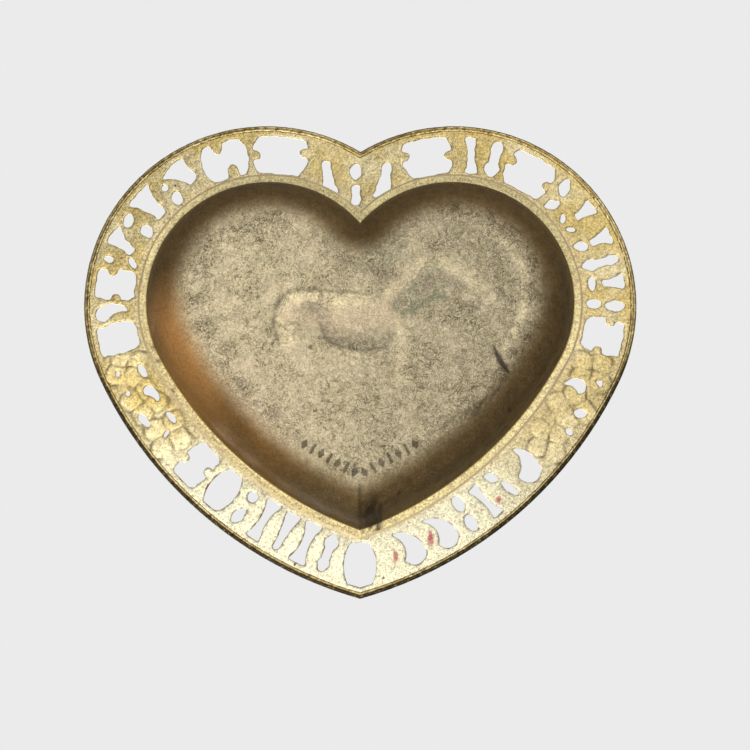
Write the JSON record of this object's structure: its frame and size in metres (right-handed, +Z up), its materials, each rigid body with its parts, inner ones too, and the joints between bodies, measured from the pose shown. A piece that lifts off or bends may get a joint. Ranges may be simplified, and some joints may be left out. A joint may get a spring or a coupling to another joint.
{
  "type": "heart-shaped trinket dish",
  "caption": "Open heart-shaped metal trinket dish: a drawn pan soldered behind a pierced ornamental rim with a beaded edge.",
  "frame": {"origin": "centre of the bounding box on the plane the pan stands on", "axes": "+Z up out of the open dish, +Y from the tip towards the two lobes, +X to the right when the dish is seen from above with the tip nearest"},
  "size_m": [0.1162, 0.1002, 0.0144],
  "materials": {
    "pan_metal": "unpolished, olive tarnish",
    "rim_metal": "cast grain, gilt",
    "bead_metal": "worn polish",
    "solder": "rough, pinkish",
    "enamel": "worn gloss"
  },
  "bodies": {
    "root": {"pan": "pan_metal", "pierced_rim": "rim_metal", "edge_bead": "bead_metal", "solder_seam": "solder", "red_enamel": "enamel"}
  },
  "joints": []
}
